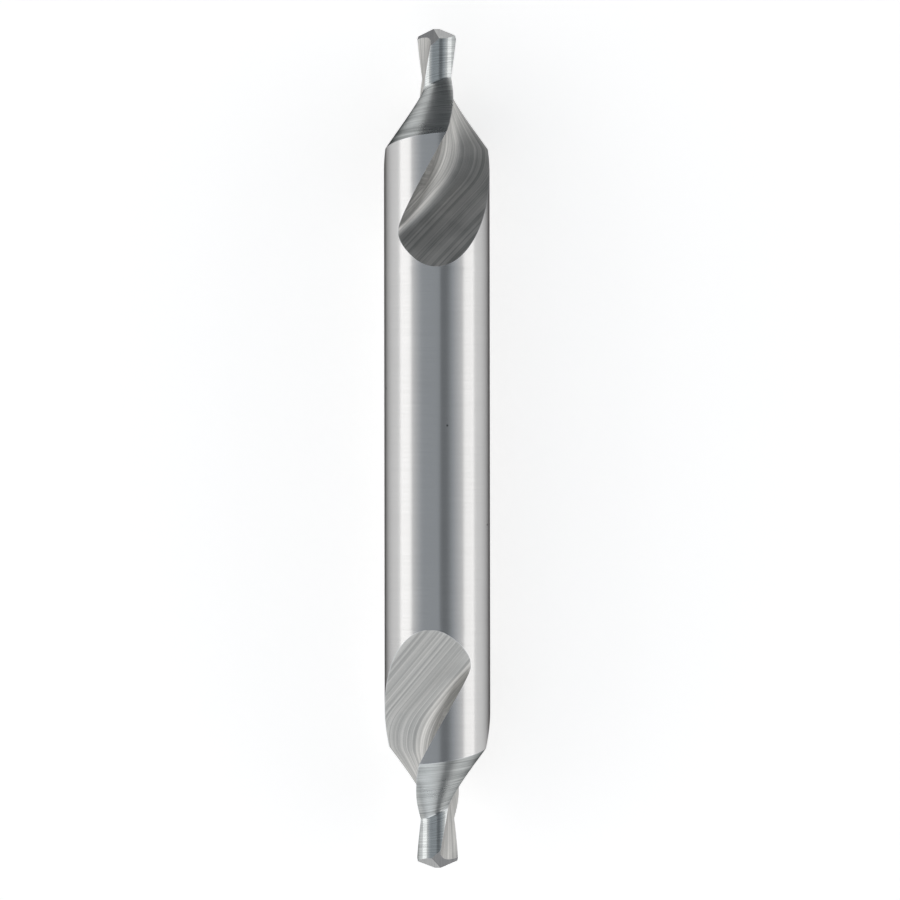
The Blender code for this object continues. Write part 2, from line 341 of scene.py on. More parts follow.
# %% Rings of one end
def end_rings(end):
    """Land points as (angle, depth, radius) and wall points as (x, up, depth), rows by columns."""
    rows = row_depths()
    walls = np.array([flute_wall(end, depth) for depth in rows])
    amount = smooth_step(rows, SHIFT_START, NECK_DEPTH)
    amount = amount * (1 - smooth_step(rows, SHIFT_FADE, SHIFT_END))
    turns = np.degrees(np.unwrap(np.arctan2(walls[:, :, 0], walls[:, :, 1]), axis=0))
    edge, heel = turns[:, 0], turns[:, -1]
    heel = edge + (heel - edge) % 360.0
    heel_depth, behind = rows, heel - 180.0
    for _ in range(SETTLING_ROUNDS):
        heel_depth = rows + amount * CONE_RELIEF * relief_share(end, heel_depth, behind)
        behind = np.interp(heel_depth, rows, heel) - 180.0
    share = np.linspace(1.0, 0.0, LAND_COLUMNS + 1)
    land_angle = edge[:, None] + (behind - edge)[:, None] * share
    land_depth = shifted(end, rows[:, None], land_angle, amount[:, None])
    land = np.stack([land_angle, land_depth, blank_radius(end, land_depth, land_angle)], axis=-1)
    along = np.linspace(0.0, 1.0, WALL_COLUMNS + 1) ** 2
    wall_depth = rows[:, None] + (heel_depth - rows)[:, None] * along
    wall = np.empty(walls.shape[:2] + (3,))
    for column in range(WALL_COLUMNS + 1):
        for axis in (0, 1):
            wall[:, column, axis] = np.interp(wall_depth[:, column], rows, walls[:, column, axis])
        wall[:, column, 2] = wall_depth[:, column]
    return rows, land, wall


rings = {end: end_rings(end) for end in EDGE_ANGLES}
print("points in a ring:", 2 * (LAND_COLUMNS + WALL_COLUMNS))

# %% [markdown]
# ## Lines left by the wheel
# Grinding marks follow the wheel. On the run-out flat they are straight and parallel, and towards
# the tip they bend and wind round the bar with the flute. Each wall point is given one number, its
# place across the marks, which stays the same along a mark. A pattern laid over the whole bar would
# run straight across the bends. The finish reads the number instead, so that the marks bend with
# the metal.

# %% Place of each wall point across the grinding marks
MARK_ANGLE = 47.0
SHORTEST_WALL = 0.001 * MM
MARKS_STRAIGHTEN = 3.9 * MM
MARKS_BLEND = 0.8 * MM
BACK_FACE_START, BACK_FACE_FULL = 25.0, 85.0


def length_past_edge(wall):
    """Length along the wall from the cutting edge to each point, with the wall rolled out flat."""
    steps = np.linalg.norm(np.diff(wall[:, :, :2], axis=1), axis=2)
    return np.concatenate((np.zeros((len(wall), 1)), np.cumsum(steps, axis=1)), axis=1)


def angle_past_edge(end, wall):
    """Angle of each wall point past the cutting edge at its own depth."""
    turned = np.degrees(np.unwrap(np.arctan2(wall[:, :, 0], wall[:, :, 1]), axis=1))
    past = turned - edge_angle(end, wall[:, :, 2])
    return past - 360.0 * np.round(past[:, :1] / 360.0)


def mark_lines(end, rows, wall):
    """Place across the marks in mm, for rows by columns of a flute's wall."""
    slant = math.radians(MARK_ANGLE)
    across = ray(edge_angle(end, RUNOUT_DEPTH) + BACK_FACE_LEAN + 90.0)
    length = length_past_edge(wall)
    heel = wall[:, -1, 0] * across.x + wall[:, -1, 1] * across.y
    sideways = length - length[:, -1:] + heel[:, None]
    straight = sideways * math.sin(slant) + wall[:, :, 2] * math.cos(slant)
    past = np.clip(rows - MARKS_STRAIGHTEN + MARKS_BLEND, 0.0, 2 * MARKS_BLEND)
    held = np.where(past < 2 * MARKS_BLEND, MARKS_STRAIGHTEN + past**2 / (4 * MARKS_BLEND), rows)

    def where_held(values):
        return np.stack([np.interp(held, rows, column) for column in values.T], axis=1)

    def following(place):
        """The straight marks carried up the flute, each at the same place in the section."""
        sections = zip(place, where_held(place), where_held(straight))
        return np.array([np.interp(*section) for section in sections])

    angle = angle_past_edge(end, wall)
    by_angle = following(angle)
    by_share = following(length / np.maximum(length[:, -1:], SHORTEST_WALL))
    bent = by_angle + (by_share - by_angle) * smooth_step(angle, BACK_FACE_START, BACK_FACE_FULL)
    return np.where(past[:, None] < 2 * MARKS_BLEND, bent, straight) / MM


marks = {end: mark_lines(end, rings[end][0], rings[end][2]) for end in EDGE_ANGLES}
print("marks run over", round(float(np.ptp(marks["first"])), 2), "mm")

# %% [markdown]
# ## Skin the bar
# The rings of one end are joined, then a few plain rings along the shank, then the other end's.
# Every face remembers how it was ground: shank, countersink, pilot, flute, or one of the two kinds
# of flat at the point. Those six kinds become the six finishes.

# %% Lay the rings of both ends
SHANK, CONE, PILOT, FLUTE, PRIMARY, SECONDARY = range(6)
HALF = LAND_COLUMNS + WALL_COLUMNS
FAR_FROM_RIM = 1.0

skin = bmesh.new()
mark_layer = skin.verts.layers.float.new("mark_line")
ring_layer = skin.verts.layers.float.new("ring_line")
rim_layer = skin.verts.layers.float.new("rim_distance")


def new_point(place, mark=0.0, ring=0.0, rim=FAR_FROM_RIM):
    point = skin.verts.new(place)
    point[mark_layer], point[ring_layer], point[rim_layer] = mark, ring, rim
    return point


def lay_ring(end, number):
    """A ring of points: a land from heel to edge, a flute wall, and both again half a turn on."""
    placement = end_placement(end)
    rows, land, wall = rings[end]
    row, mark = rows[number], marks[end][number]
    step = math.radians(np.ptp(land[number][:, 0])) * land[number][:, 2].mean() / LAND_COLUMNS
    corner = abs(row - SHANK_CORNER_DEPTH)
    run = np.concatenate(([0.0], np.cumsum(np.linalg.norm(np.diff(wall[number], axis=0), axis=1))))
    ring = []
    for side in (1.0, -1.0):
        for column, (angle, depth, radius) in enumerate(land[number]):
            across = ray(angle) * radius * side
            rim = min(column * step, (LAND_COLUMNS - column) * step, corner) / MM
            place = placement @ Vector((across.x, depth, across.y))
            ring.append(new_point(place, mark[0] if column else mark[-1], row / MM, rim))
        for column in range(1, WALL_COLUMNS):
            x, up, depth = wall[number][column]
            rim = min(run[column], run[-1] - run[column]) / MM
            place = placement @ Vector((x * side, depth, up * side))
            ring.append(new_point(place, mark[column], row / MM, rim))
    return ring


laid = {end: [lay_ring(end, number) for number in range(len(rings[end][0]))] for end in EDGE_ANGLES}
print("points laid:", len(skin.verts))

# %% [markdown]
# The two ends start their flutes at different angles, so the rings of the shank turn slightly on
# the way from one to the other. On a round bar that twist can't be seen.

# %% Join the rings
SHANK_RINGS = 36
SAME_DEPTH, SAME_PLACE = 1e-9, 1e-8


def join(ring, following, kinds):
    for here, kind in enumerate(kinds):
        after = (here + 1) % len(ring)
        face = skin.faces.new((ring[here], ring[after], following[after], following[here]))
        face.material_index = kind


def round_the_bar(point):
    return math.atan2(point.co.x, point.co.z - SHANK_RADIUS)


def shank_columns(end):
    """The last ring of an end without its closed-up flutes, in the order of growing angle."""
    last = laid[end][-1]
    ring = last[:LAND_COLUMNS] + last[HALF : HALF + LAND_COLUMNS]
    return ring if end == "first" else ring[::-1]


for end in EDGE_ANGLES:
    for depth, ring, following in zip(rings[end][0], laid[end], laid[end][1:]):
        land_kind = CONE if depth > NECK_DEPTH else PILOT
        if depth > SHANK_CORNER_DEPTH - SAME_DEPTH:
            land_kind = SHANK
        join(ring, following, ([land_kind] * LAND_COLUMNS + [FLUTE] * WALL_COLUMNS) * 2)

near, far = shank_columns("first"), shank_columns("second")
gaps = [abs(math.sin((round_the_bar(point) - round_the_bar(near[0])) / 2)) for point in far]
start = gaps.index(min(gaps))
far = far[start:] + far[:start]
previous = near
for number in range(1, SHANK_RINGS):
    share = number / SHANK_RINGS
    ring = []
    for one, other in zip(near, far):
        turn = math.remainder(round_the_bar(other) - round_the_bar(one), 2 * math.pi)
        angle = math.degrees(round_the_bar(one) + turn * smooth_step(share, 0.0, 1.0))
        across = ray(angle) * SHANK_RADIUS
        along = one.co.y + (other.co.y - one.co.y) * share
        ring.append(new_point(Vector((across.x, along, across.y + SHANK_RADIUS))))
    join(previous, ring, [SHANK] * len(ring))
    previous = ring
join(previous, far, [SHANK] * len(far))
bmesh.ops.remove_doubles(skin, verts=skin.verts[:], dist=SAME_PLACE)
print("faces joined:", len(skin.faces))

# %% [markdown]
# ## Grind the points
# Each point has four flats: a primary behind each cutting lip and a steeper secondary behind that,
# which meet in a short chisel edge. Real ones are ground flat, one face at a time, and so are
# these. The skin is closed with a lid ahead of each tip, and four planes then cut it back.

# %% Four flats at each tip
POINT_HALF = math.radians(152.0 / 2)
LIP_DEPTH = PILOT_RADIUS / math.tan(POINT_HALF)
PRIMARY_CLEARANCE = 25.0
SECONDARY_CLEARANCE = 51.0
RIDGE_ANGLE = 56.0
RIDGE_OFFSET = 0.09 * MM


def outwards(angle, lean):
    """A direction across the drill at an angle, leaning by some degrees into the bar."""
    across = ray(angle)
    slope = math.radians(lean)
    return Vector((across.x * math.cos(slope), math.sin(slope), across.y * math.cos(slope)))


def facing_tip(one, other):
    normal = one.cross(other).normalized()
    return normal if normal.y < 0 else -normal


def within(angle, normal):
    """A direction at an angle across the drill, tilted until it lies in a plane through the tip."""
    across = ray(angle)
    return Vector((across.x, -(across.x * normal.x + across.y * normal.z) / normal.y, across.y))


def flats(end):
    for half_turn in (0.0, 180.0):
        lip = edge_angle(end, LIP_DEPTH / 2) + half_turn
        along_lip = outwards(lip, 90.0 - math.degrees(POINT_HALF))
        primary = facing_tip(along_lip, outwards(lip - 90.0, PRIMARY_CLEARANCE))
        yield PRIMARY, Vector(), primary
        ridge = lip - RIDGE_ANGLE
        start = within(ridge - 90.0, primary) * RIDGE_OFFSET
        steep = outwards(ridge - 90.0, SECONDARY_CLEARANCE)
        yield SECONDARY, start, facing_tip(within(ridge, primary), steep)


def grind_flat(kind, place, normal):
    everything = skin.verts[:] + skin.edges[:] + skin.faces[:]
    bmesh.ops.bisect_plane(
        skin, geom=everything, dist=SAME_DEPTH, plane_co=place, plane_no=normal, clear_outer=True
    )
    rims = [edge for edge in skin.edges if edge.is_boundary]
    for face in bmesh.ops.holes_fill(skin, edges=rims, sides=0)["faces"]:
        face.material_index = kind
        # Each flat's corners count as rims, so the painted rim highlight covers the whole flat and
        # fades into the faces beside it.
        for corner in face.verts:
            corner[rim_layer] = 0.0


for end in EDGE_ANGLES:
    lid = [point for point in laid[end][0] if point.is_valid]
    skin.faces.new(lid).material_index = PRIMARY
for end in EDGE_ANGLES:
    placement = end_placement(end)
    for kind, place, normal in flats(end):
        grind_flat(kind, placement @ place, placement.to_3x3() @ normal)
print("faces ground flat:", sum(face.material_index >= PRIMARY for face in skin.faces))

# %% [markdown]
# ## Sharp rims, smooth walls
# Smooth shading bends the light over the small faces. It has to stop at every rim where one
# grinding operation meets another, and at the ridges between the flats, because carbide edges are
# left dead sharp.

# %% Shade and place the drill
RIDGE_BEND = math.radians(15.0)

bmesh.ops.recalc_face_normals(skin, faces=skin.faces[:])
for face in skin.faces:
    face.smooth = True
for edge in skin.edges:
    if len(edge.link_faces) != 2:
        continue
    one, other = (face.material_index for face in edge.link_faces)
    ridge = one == other == PRIMARY and edge.calc_face_angle() > RIDGE_BEND
    if one != other or ridge:
        edge.smooth = False
open_edges = sum(not edge.is_manifold for edge in skin.edges)
mesh = bpy.data.meshes.new("centre_drill_ground")
skin.to_mesh(mesh)
skin.free()
drill = bpy.data.objects.new("centre_drill_ground", mesh)
bpy.context.scene.collection.objects.link(drill)
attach(drill, "root")
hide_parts("centre_drill")
triangles = sum(len(face.vertices) - 2 for face in mesh.polygons)
print("triangles:", triangles, "open edges:", open_edges)

# %% [markdown]
# ## Wiring helpers
# Each finish is a small network of shader nodes. These helpers add a node, set its values and wire
# it, so that the cells below read as a list of what happens to the surface.

# %% Helpers for shader nodes
def add_node(tree, kind, label, inputs=(), **settings):
    """A new node. inputs maps each socket to a value, or to another node's output that feeds it."""
    node = tree.nodes.new("ShaderNode" + kind)
    node.label = label
    for name, value in settings.items():
        setattr(node, name, value)
    for socket, value in dict(inputs).items():
        if isinstance(value, bpy.types.NodeSocket):
            tree.links.new(value, node.inputs[socket])
        else:
            node.inputs[socket].default_value = value
    return node


def maths(tree, label, operation, one, other=0.0):
    return add_node(tree, "Math", label, {0: one, 1: other}, operation=operation).outputs[0]


def product(tree, label, one, other):
    return maths(tree, label, "MULTIPLY", one, other)


def ramp(tree, label, value, low, high, start=0.0, stop=1.0):
    """The value carried from one range to another, smoothly, and held at both ends."""
    inputs = {"Value": value, "From Min": low, "From Max": high, "To Min": start, "To Max": stop}
    return add_node(tree, "MapRange", label, inputs, interpolation_type="SMOOTHSTEP").outputs[0]


def blend(tree, label, share, one, other):
    """A share of the other colour over the one. A Mix node takes colours in 6 and 7 and gives 2."""
    return add_node(tree, "Mix", label, {0: share, 6: one, 7: other}, data_type="RGBA").outputs[2]


def new_group(name, inputs, outputs):
    """An empty node group with named sockets, and its two inner ends."""
    tree = bpy.data.node_groups.new(name, "ShaderNodeTree")
    for way, sockets in (("INPUT", inputs), ("OUTPUT", outputs)):
        for socket, kind in sockets.items():
            tree.interface.new_socket(socket, in_out=way, socket_type="NodeSocket" + kind)
    return tree, tree.nodes.new("NodeGroupInput").outputs, tree.nodes.new("NodeGroupOutput").inputs


def floats(*sockets):
    return dict.fromkeys(sockets, "Float")


def place_group(tree, group, label, inputs):
    """A group placed in a material with its own values."""
    return add_node(tree, "Group", label, inputs, node_tree=group).outputs


def read_line(tree, name):
    """A number that was written on the mesh."""
    return add_node(tree, "Attribute", name, attribute_name=name).outputs["Fac"]


print("helpers ready")

# %% [markdown]
# ## Effect: grinding marks
# A wheel is a crowd of grains, and each grain ploughs a line. Modelling the lines would take
# millions of faces. Seen close up, they are noise that is very short across the marks and very long
# along them, so a stretched noise draws them. A second, coarser one gives the bands that a worn
# wheel leaves, and only the peaks of a third are kept, as the few deep scratches.

# %% Node group for grinding marks
NOISE_ROUGHNESS = 0.6
LONGER_RUN, SCRATCH_WIDTH = 3.0, 1.2
LINE_DETAIL, SCRATCH_DETAIL = 2.0, 1.0
SCRATCH_PEAKS = (0.66, 0.80)


def make_grinding_marks():
    inputs = floats("Across", "Along", "Mark Width", "Mark Length", "Band Width", "Seed")
    outputs = floats("Lines", "Bands", "Scratches")
    tree, given, result = new_group("grinding_marks", inputs, outputs)

    def stretched(label, width, length, detail):
        across = maths(tree, "across " + label, "DIVIDE", given["Across"], width)
        along = maths(tree, "along " + label, "DIVIDE", given["Along"], length)
        axes = {0: across, 1: along, 2: given["Seed"]}
        place = add_node(tree, "CombineXYZ", "place", axes).outputs[0]
        inputs = {"Vector": place, "Scale": 1.0, "Detail": detail, "Roughness": NOISE_ROUGHNESS}
        return add_node(tree, "TexNoise", label, inputs).outputs[0]

    long_run = product(tree, "longer", given["Mark Length"], LONGER_RUN)
    fine = stretched("lines", given["Mark Width"], given["Mark Length"], LINE_DETAIL)
    bands = stretched("bands", given["Band Width"], long_run, LINE_DETAIL)
    wide = product(tree, "scratch width", given["Mark Width"], SCRATCH_WIDTH)
    deep = stretched("scratches", wide, long_run, SCRATCH_DETAIL)
    tree.links.new(fine, result["Lines"])
    tree.links.new(bands, result["Bands"])
    tree.links.new(ramp(tree, "only the peaks", deep, *SCRATCH_PEAKS), result["Scratches"])
    return tree


grinding_marks = make_grinding_marks()
print("node group:", grinding_marks.name)

# %% [markdown]
# ## Effect: painted highlight on the rims
# The last few hundredths of a millimetre beside a ground edge catch light as a thin line. A bevel
# would need rows of tiny faces. The mesh already holds each point's distance to its nearest rim,
# and the colour of the metal is lightened there, which paints the highlight in.

# %% Node group for painted rim highlights
def make_painted_rim_highlight():
    tree, given, result = new_group("painted_rim_highlight", floats("Distance", "Width"), floats("Rim"))
    share = maths(tree, "share of width", "DIVIDE", given["Distance"], given["Width"])
    tree.links.new(ramp(tree, "fade from the rim", share, 0.0, 1.0, 1.0, 0.0), result["Rim"])
    return tree


painted_rim_highlight = make_painted_rim_highlight()
print("node group:", painted_rim_highlight.name)

# %% [markdown]
# ## Effect: pores
# Sintered carbide has a few tiny pores. Cells of noise are scattered over the surface, and only the
# rare cell that draws a high number gets a dark dot.

# %% Node group for pores
PORE_RIM = (0.05, 0.13)


def make_pores():
    inputs = {"Place": "Vector"} | floats("Spacing", "Rarity")
    tree, given, result = new_group("pores", inputs, floats("Pores"))
    per_metre = maths(tree, "cells per metre", "DIVIDE", 1 / MM, given["Spacing"])
    cells = add_node(tree, "TexVoronoi", "cells", {"Vector": given["Place"], "Scale": per_metre})
    dot = ramp(tree, "dot", cells.outputs["Distance"], *PORE_RIM, 1.0, 0.0)
    draw = add_node(tree, "SeparateColor", "draw", {0: cells.outputs["Color"]}).outputs[0]
    rare = maths(tree, "rare", "GREATER_THAN", draw, given["Rarity"])
    tree.links.new(product(tree, "rare dots", dot, rare), result["Pores"])
    return tree


pores = make_pores()
print("node group:", pores.name)

# %% [markdown]
# ## Effect: grain and stains
# Carbide is a powder pressed and baked, so the bare metal sparkles a little, grain by grain.
# Coolant and fingers leave wide, faint stains as well, which mostly show as a change of gloss. Both
# are plain noise, one fine and one wide.

# %% Node group for grain and stains
GRAIN_DETAIL, STAIN_DETAIL = 2.0, 4.0


def make_grain():
    inputs = {"Place": "Vector"} | floats("Grain Size", "Stain Size")
    tree, given, result = new_group("grain_and_stains", inputs, floats("Grain", "Stains"))
    noises = (("Grain Size", GRAIN_DETAIL, "Grain"), ("Stain Size", STAIN_DETAIL, "Stains"))
    for size, detail, output in noises:
        per_metre = maths(tree, "per metre", "DIVIDE", 1 / MM, given[size])
        inputs = {"Vector": given["Place"], "Scale": per_metre, "Detail": detail}
        tree.links.new(add_node(tree, "TexNoise", output, inputs).outputs[0], result[output])
    return tree


grain_and_stains = make_grain()
print("node group:", grain_and_stains.name)

# %% [markdown]
# ## Effect: shade of the metal
# All the marks meet here. Each takes its share in the shade between the darkest and the lightest
# metal, the stains set the gloss, and the lines, scratches and pores raise or sink the surface.
# The painted highlight on the rims and the pores come last, over the rest.

# %% Node group for the shade of the metal
BAND_SHARE, GRAIN_SHARE, STAIN_SHARE, SCRATCH_SHARE = 0.2, 0.15, 0.25, 0.3
SHADE_SPREAD = 0.25
STAIN_RANGE = (0.3, 0.7)
PORE_DEPTH = 3.0


def rgb(red, green, blue):
    return (red, green, blue, 1.0)


# Colour that the rims are lightened towards: a painted highlight.
RIM_HIGHLIGHT_COLOUR = rgb(0.72, 0.73, 0.74)
PORE_COLOUR = rgb(0.05, 0.05, 0.05)


def make_metal_shade():
    inputs = {"Dark Metal": "Color", "Light Metal": "Color"}
    inputs |= floats("Least Roughness", "Most Roughness", "Rim Share", "Mark Height")
    inputs |= floats("Lines", "Bands", "Scratches", "Grain", "Stains", "Pores", "Rim")
    outputs = {"Color": "Color"} | floats("Roughness", "Height")
    tree, given, result = new_group("metal_shade", inputs, outputs)

    mixed = given["Lines"]
    shares = {"Bands": BAND_SHARE, "Grain": GRAIN_SHARE, "Stains": STAIN_SHARE}
    shares["Scratches"] = -SCRATCH_SHARE
    for mask, share in shares.items():
        part = product(tree, "share of " + mask, given[mask], share)
        mixed = maths(tree, "with " + mask, "ADD", mixed, part)
    middle = (1.0 + BAND_SHARE + GRAIN_SHARE + STAIN_SHARE) / 2
    light = ramp(tree, "light metal", mixed, middle - SHADE_SPREAD, middle + SHADE_SPREAD)
    shade = blend(tree, "shade", light, given["Dark Metal"], given["Light Metal"])
    # The rims are lightened by their share: a painted highlight.
    rims = product(tree, "painted highlight share", given["Rim"], given["Rim Share"])
    shade = blend(tree, "with painted rim highlights", rims, shade, RIM_HIGHLIGHT_COLOUR)
    shade = blend(tree, "with pores", given["Pores"], shade, PORE_COLOUR)
    tree.links.new(shade, result["Color"])

    gloss = given["Least Roughness"], given["Most Roughness"]
    gloss = ramp(tree, "roughness", given["Stains"], *STAIN_RANGE, *gloss)
    tree.links.new(gloss, result["Roughness"])

    relief = maths(tree, "with scratches", "SUBTRACT", given["Lines"], given["Scratches"])
    relief = product(tree, "height of marks", relief, given["Mark Height"])
    sunk = product(tree, "depth of pores", given["Pores"], PORE_DEPTH)
    tree.links.new(maths(tree, "marks and pores", "SUBTRACT", relief, sunk), result["Height"])
    return tree


metal_shade = make_metal_shade()
print("node group:", metal_shade.name)

# %% [markdown]
# ## The finishes
# All six are the same metal, so they share a builder. What differs is which way the wheel ran, how
# coarse it was, and how much the marks tilt the surface. They raise it by about a thousandth of a
# millimetre. Ground carbide reflects less at a flat angle than a mirror would, which the shader's
# own Specular Tint gives. It makes the outline of the bar dark.

# %% Builder for a ground finish
LINE_HEIGHT = 0.001 * MM
GRAIN_SIZE, STAIN_SIZE = 0.03, 0.7
PORE_SPACING, PORE_RARITY = 0.3, 0.985
RIM_HIGHLIGHT_WIDTH = 0.04


def ground_finish(
    name, colours, roughness, across, along, widths, length, height, seed, rim=0.5, flat_angle=0.1
):
    """A metal with grinding marks. across and along are functions that give a socket, in mm."""
    material = bpy.data.materials.new(name)
    material.use_nodes = True
    tree = material.node_tree
    shader = tree.nodes["Principled BSDF"]
    shader.inputs["Metallic"].default_value = 1.0
    shader.inputs["Specular Tint"].default_value = rgb(flat_angle, flat_angle, flat_angle)
    place = add_node(tree, "TexCoord", "place").outputs["Object"]

    wires = {"Across": across(tree), "Along": along(tree), "Mark Length": length, "Seed": seed}
    wires |= {"Mark Width": widths[0], "Band Width": widths[1]}
    marked = place_group(tree, grinding_marks, "grinding marks", wires)
    wires = {"Place": place, "Grain Size": GRAIN_SIZE, "Stain Size": STAIN_SIZE}
    grained = place_group(tree, grain_and_stains, "grain and stains", wires)
    wires = {"Place": place, "Spacing": PORE_SPACING, "Rarity": PORE_RARITY}
    pored = place_group(tree, pores, "pores", wires)
    # A painted highlight that lightens the metal's colour along the rims.
    wires = {"Distance": read_line(tree, "rim_distance"), "Width": RIM_HIGHLIGHT_WIDTH}
    rim_highlighted = place_group(tree, painted_rim_highlight, "rim", wires)

    wires = {output.name: output for group in (marked, grained, pored, rim_highlighted) for output in group}
    wires |= {"Dark Metal": colours[0], "Light Metal": colours[1]}
    wires |= {"Least Roughness": roughness[0], "Most Roughness": roughness[1]}
    # rim is the share of the painted rim highlight in this finish.
    wires |= {"Rim Share": rim, "Mark Height": height}
    shaded = place_group(tree, metal_shade, "shade of the metal", wires)
    wires = {"Height": shaded["Height"], "Distance": LINE_HEIGHT, "Strength": 1.0}
    bump = add_node(tree, "Bump", "relief", wires)
    tree.links.new(shaded["Color"], shader.inputs["Base Color"])
    tree.links.new(shaded["Roughness"], shader.inputs["Roughness"])
    tree.links.new(bump.outputs["Normal"], shader.inputs["Normal"])
    return material


print("node groups in each finish:", len(bpy.data.node_groups))

# %% [markdown]
# Every mark needs two places on the surface, one across it and one along it. They come from the
# numbers that were written on the mesh, or from the bar's own axes.

# %% Places across and along the marks
def mesh_line(name):
    return lambda tree: read_line(tree, name)


def bar_axis(axis):
    """Place along one axis of the bar in mm."""

    def socket(tree):
        place = add_node(tree, "TexCoord", "place").outputs["Object"]
        parts = add_node(tree, "SeparateXYZ", "axes", {0: place})
        return product(tree, "in mm", parts.outputs[axis], 1 / MM)

    return socket


def ring_place(tree):
    """Halfway between the relieved ring and the plain depth, as the marks of the form wheel run."""
    plain = maths(tree, "either end", "ABSOLUTE", bar_axis(1)(tree))
    depth = maths(tree, "depth", "SUBTRACT", OVERALL_LENGTH / 2 / MM, plain)
    both = maths(tree, "both", "ADD", read_line(tree, "ring_line"), depth)
    return product(tree, "halfway", both, 0.5)


print("numbers on the mesh:", [line.name for line in mesh.attributes if line.data_type == "FLOAT"])

# %% [markdown]
# **Shank.** It is ground between two wheels and then polished, so that it fits a collet. What is
# left is a faint grain round the bar, seen only as a slight blur of the reflections.
#
# **Noses.** A shaped wheel runs round the countersink and the pilot, so its marks are rings.
#
# **Flutes.** A coarse wheel, with long straight marks that follow the flute.
#
# ** Points.** Small flats with fine straight marks. The secondary ones lean away, and their much darker colour is painted shade.

# %% Make the finishes
finishes = [
    ground_finish(
        "polished_shank",
        colours=(rgb(0.545, 0.54, 0.535), rgb(0.575, 0.57, 0.565)), roughness=(0.195, 0.21),
        across=bar_axis(1), along=bar_axis(0), widths=(0.03, 0.5), length=1.5, height=0.005,
        seed=1.0, rim=0.3,
    ),
    ground_finish(
        "relieved_countersink",
        colours=(rgb(0.29, 0.30, 0.298), rgb(0.54, 0.555, 0.55)), roughness=(0.27, 0.32),
        across=ring_place, along=bar_axis(0), widths=(0.045, 0.12), length=2.2, height=0.5,
        seed=2.0, flat_angle=0.0,
    ),
    ground_finish(
        "relieved_pilot",
        colours=(rgb(0.41, 0.425, 0.425), rgb(0.565, 0.585, 0.58)), roughness=(0.14, 0.20),
        across=ring_place, along=bar_axis(0), widths=(0.035, 0.1), length=1.2, height=0.7, seed=2.0,
    ),
    ground_finish(
        "ground_flute",
        colours=(rgb(0.354, 0.352, 0.343), rgb(0.61, 0.60, 0.58)), roughness=(0.46, 0.53),
        across=mesh_line("mark_line"), along=bar_axis(1), widths=(0.045, 0.2), length=14.0,
        height=1.4, seed=3.0, flat_angle=0.7,
    ),
    ground_finish(
        "ground_primary",
        colours=(rgb(0.36, 0.355, 0.345), rgb(0.54, 0.53, 0.515)), roughness=(0.22, 0.30),
        across=bar_axis(0), along=bar_axis(2), widths=(0.03, 0.1), length=1.0, height=0.8, seed=4.0,
    ),
    # The secondary flats' much darker colours are painted shade, not a different metal.
    ground_finish(
        "ground_secondary_painted_shade",
        colours=(rgb(0.10, 0.10, 0.105), rgb(0.16, 0.16, 0.16)), roughness=(0.18, 0.24),
        across=bar_axis(0), along=bar_axis(2), widths=(0.04, 0.1), length=1.0, height=1.0,
        seed=5.0, rim=0.2,
    ),
]
for finish in finishes:
    mesh.materials.append(finish)
print("finishes:", [finish.name for finish in finishes])

# %% [markdown]
# ## The floor
# Metal shows what surrounds it, so the surroundings are half of its look. The floor is plain and
# pale and bends up into a low wall, as a sheet of card would. The bend keeps a hard line out of the
# reflections.

# %% Shape of the floor
FLOOR_RADIUS = 0.6
BEND_RADIUS = 0.06
WALL_HEIGHT = 0.08
FLOOR_SIDES, BEND_STEPS = 96, 10


def floor_profile():
    """Distance from the middle and height, along the flat floor, its bend and the low wall."""
    profile = [(FLOOR_RADIUS / 2, 0.0)]
    for step in range(BEND_STEPS + 1):
        turn = math.radians(90.0) * step / BEND_STEPS
        across, up = math.sin(turn), 1 - math.cos(turn)
        profile.append((FLOOR_RADIUS + BEND_RADIUS * across, BEND_RADIUS * up))
    return profile + [(FLOOR_RADIUS + BEND_RADIUS, WALL_HEIGHT)]


def floor_mesh():
    turns = [2 * math.pi * side / FLOOR_SIDES for side in range(FLOOR_SIDES)]
    circle = [(math.cos(turn), math.sin(turn)) for turn in turns]
    profile = floor_profile()
    points = [(far * x, far * y, up) for far, up in profile for x, y in circle]
    faces = [list(range(FLOOR_SIDES))]
    for inner in range(0, FLOOR_SIDES * (len(profile) - 1), FLOOR_SIDES):
        for side in range(FLOOR_SIDES):
            here, after = inner + side, inner + (side + 1) % FLOOR_SIDES
            faces.append((here, here + FLOOR_SIDES, after + FLOOR_SIDES, after))
    data = bpy.data.meshes.new("floor")
    data.from_pydata(points, [], faces)
    data.shade_smooth()
    return data


floor = bpy.data.objects.new("floor", floor_mesh())
bpy.context.scene.collection.objects.link(floor)
print("floor", 2 * FLOOR_RADIUS, "m wide")

# %% [markdown]
# The floor glows for the camera and in reflections, so that it is seen nearly white, and a little
# more beyond the lamps, where their light thins out. More lamps would whiten it as well, but they
# would also bleach the drill. The glow gives the drill no extra light and leaves its shadow.

# %% Colour and glow of the floor
FLOOR_GLOW, WALL_GLOW = 0.555, 0.72
GLOW_CHANGE = (0.2, 0.4)
FLOOR_ROUGHNESS = 0.9
FLOOR_COLOUR, GLOW_COLOUR = rgb(0.91, 0.89, 0.87), rgb(1.0, 1.0, 1.0)


def background_rays(tree, strength):
    """The strength for rays from the camera, a mirror or glass, and none for light on things."""
    path = add_node(tree, "LightPath", "kind of ray").outputs
    seen = maths(tree, "seen or mirrored", "MAXIMUM", path["Is Camera Ray"], path["Is Glossy Ray"])
    seen = maths(tree, "or through glass", "MAXIMUM", seen, path["Is Transmission Ray"])
    return product(tree, "strength", seen, strength)


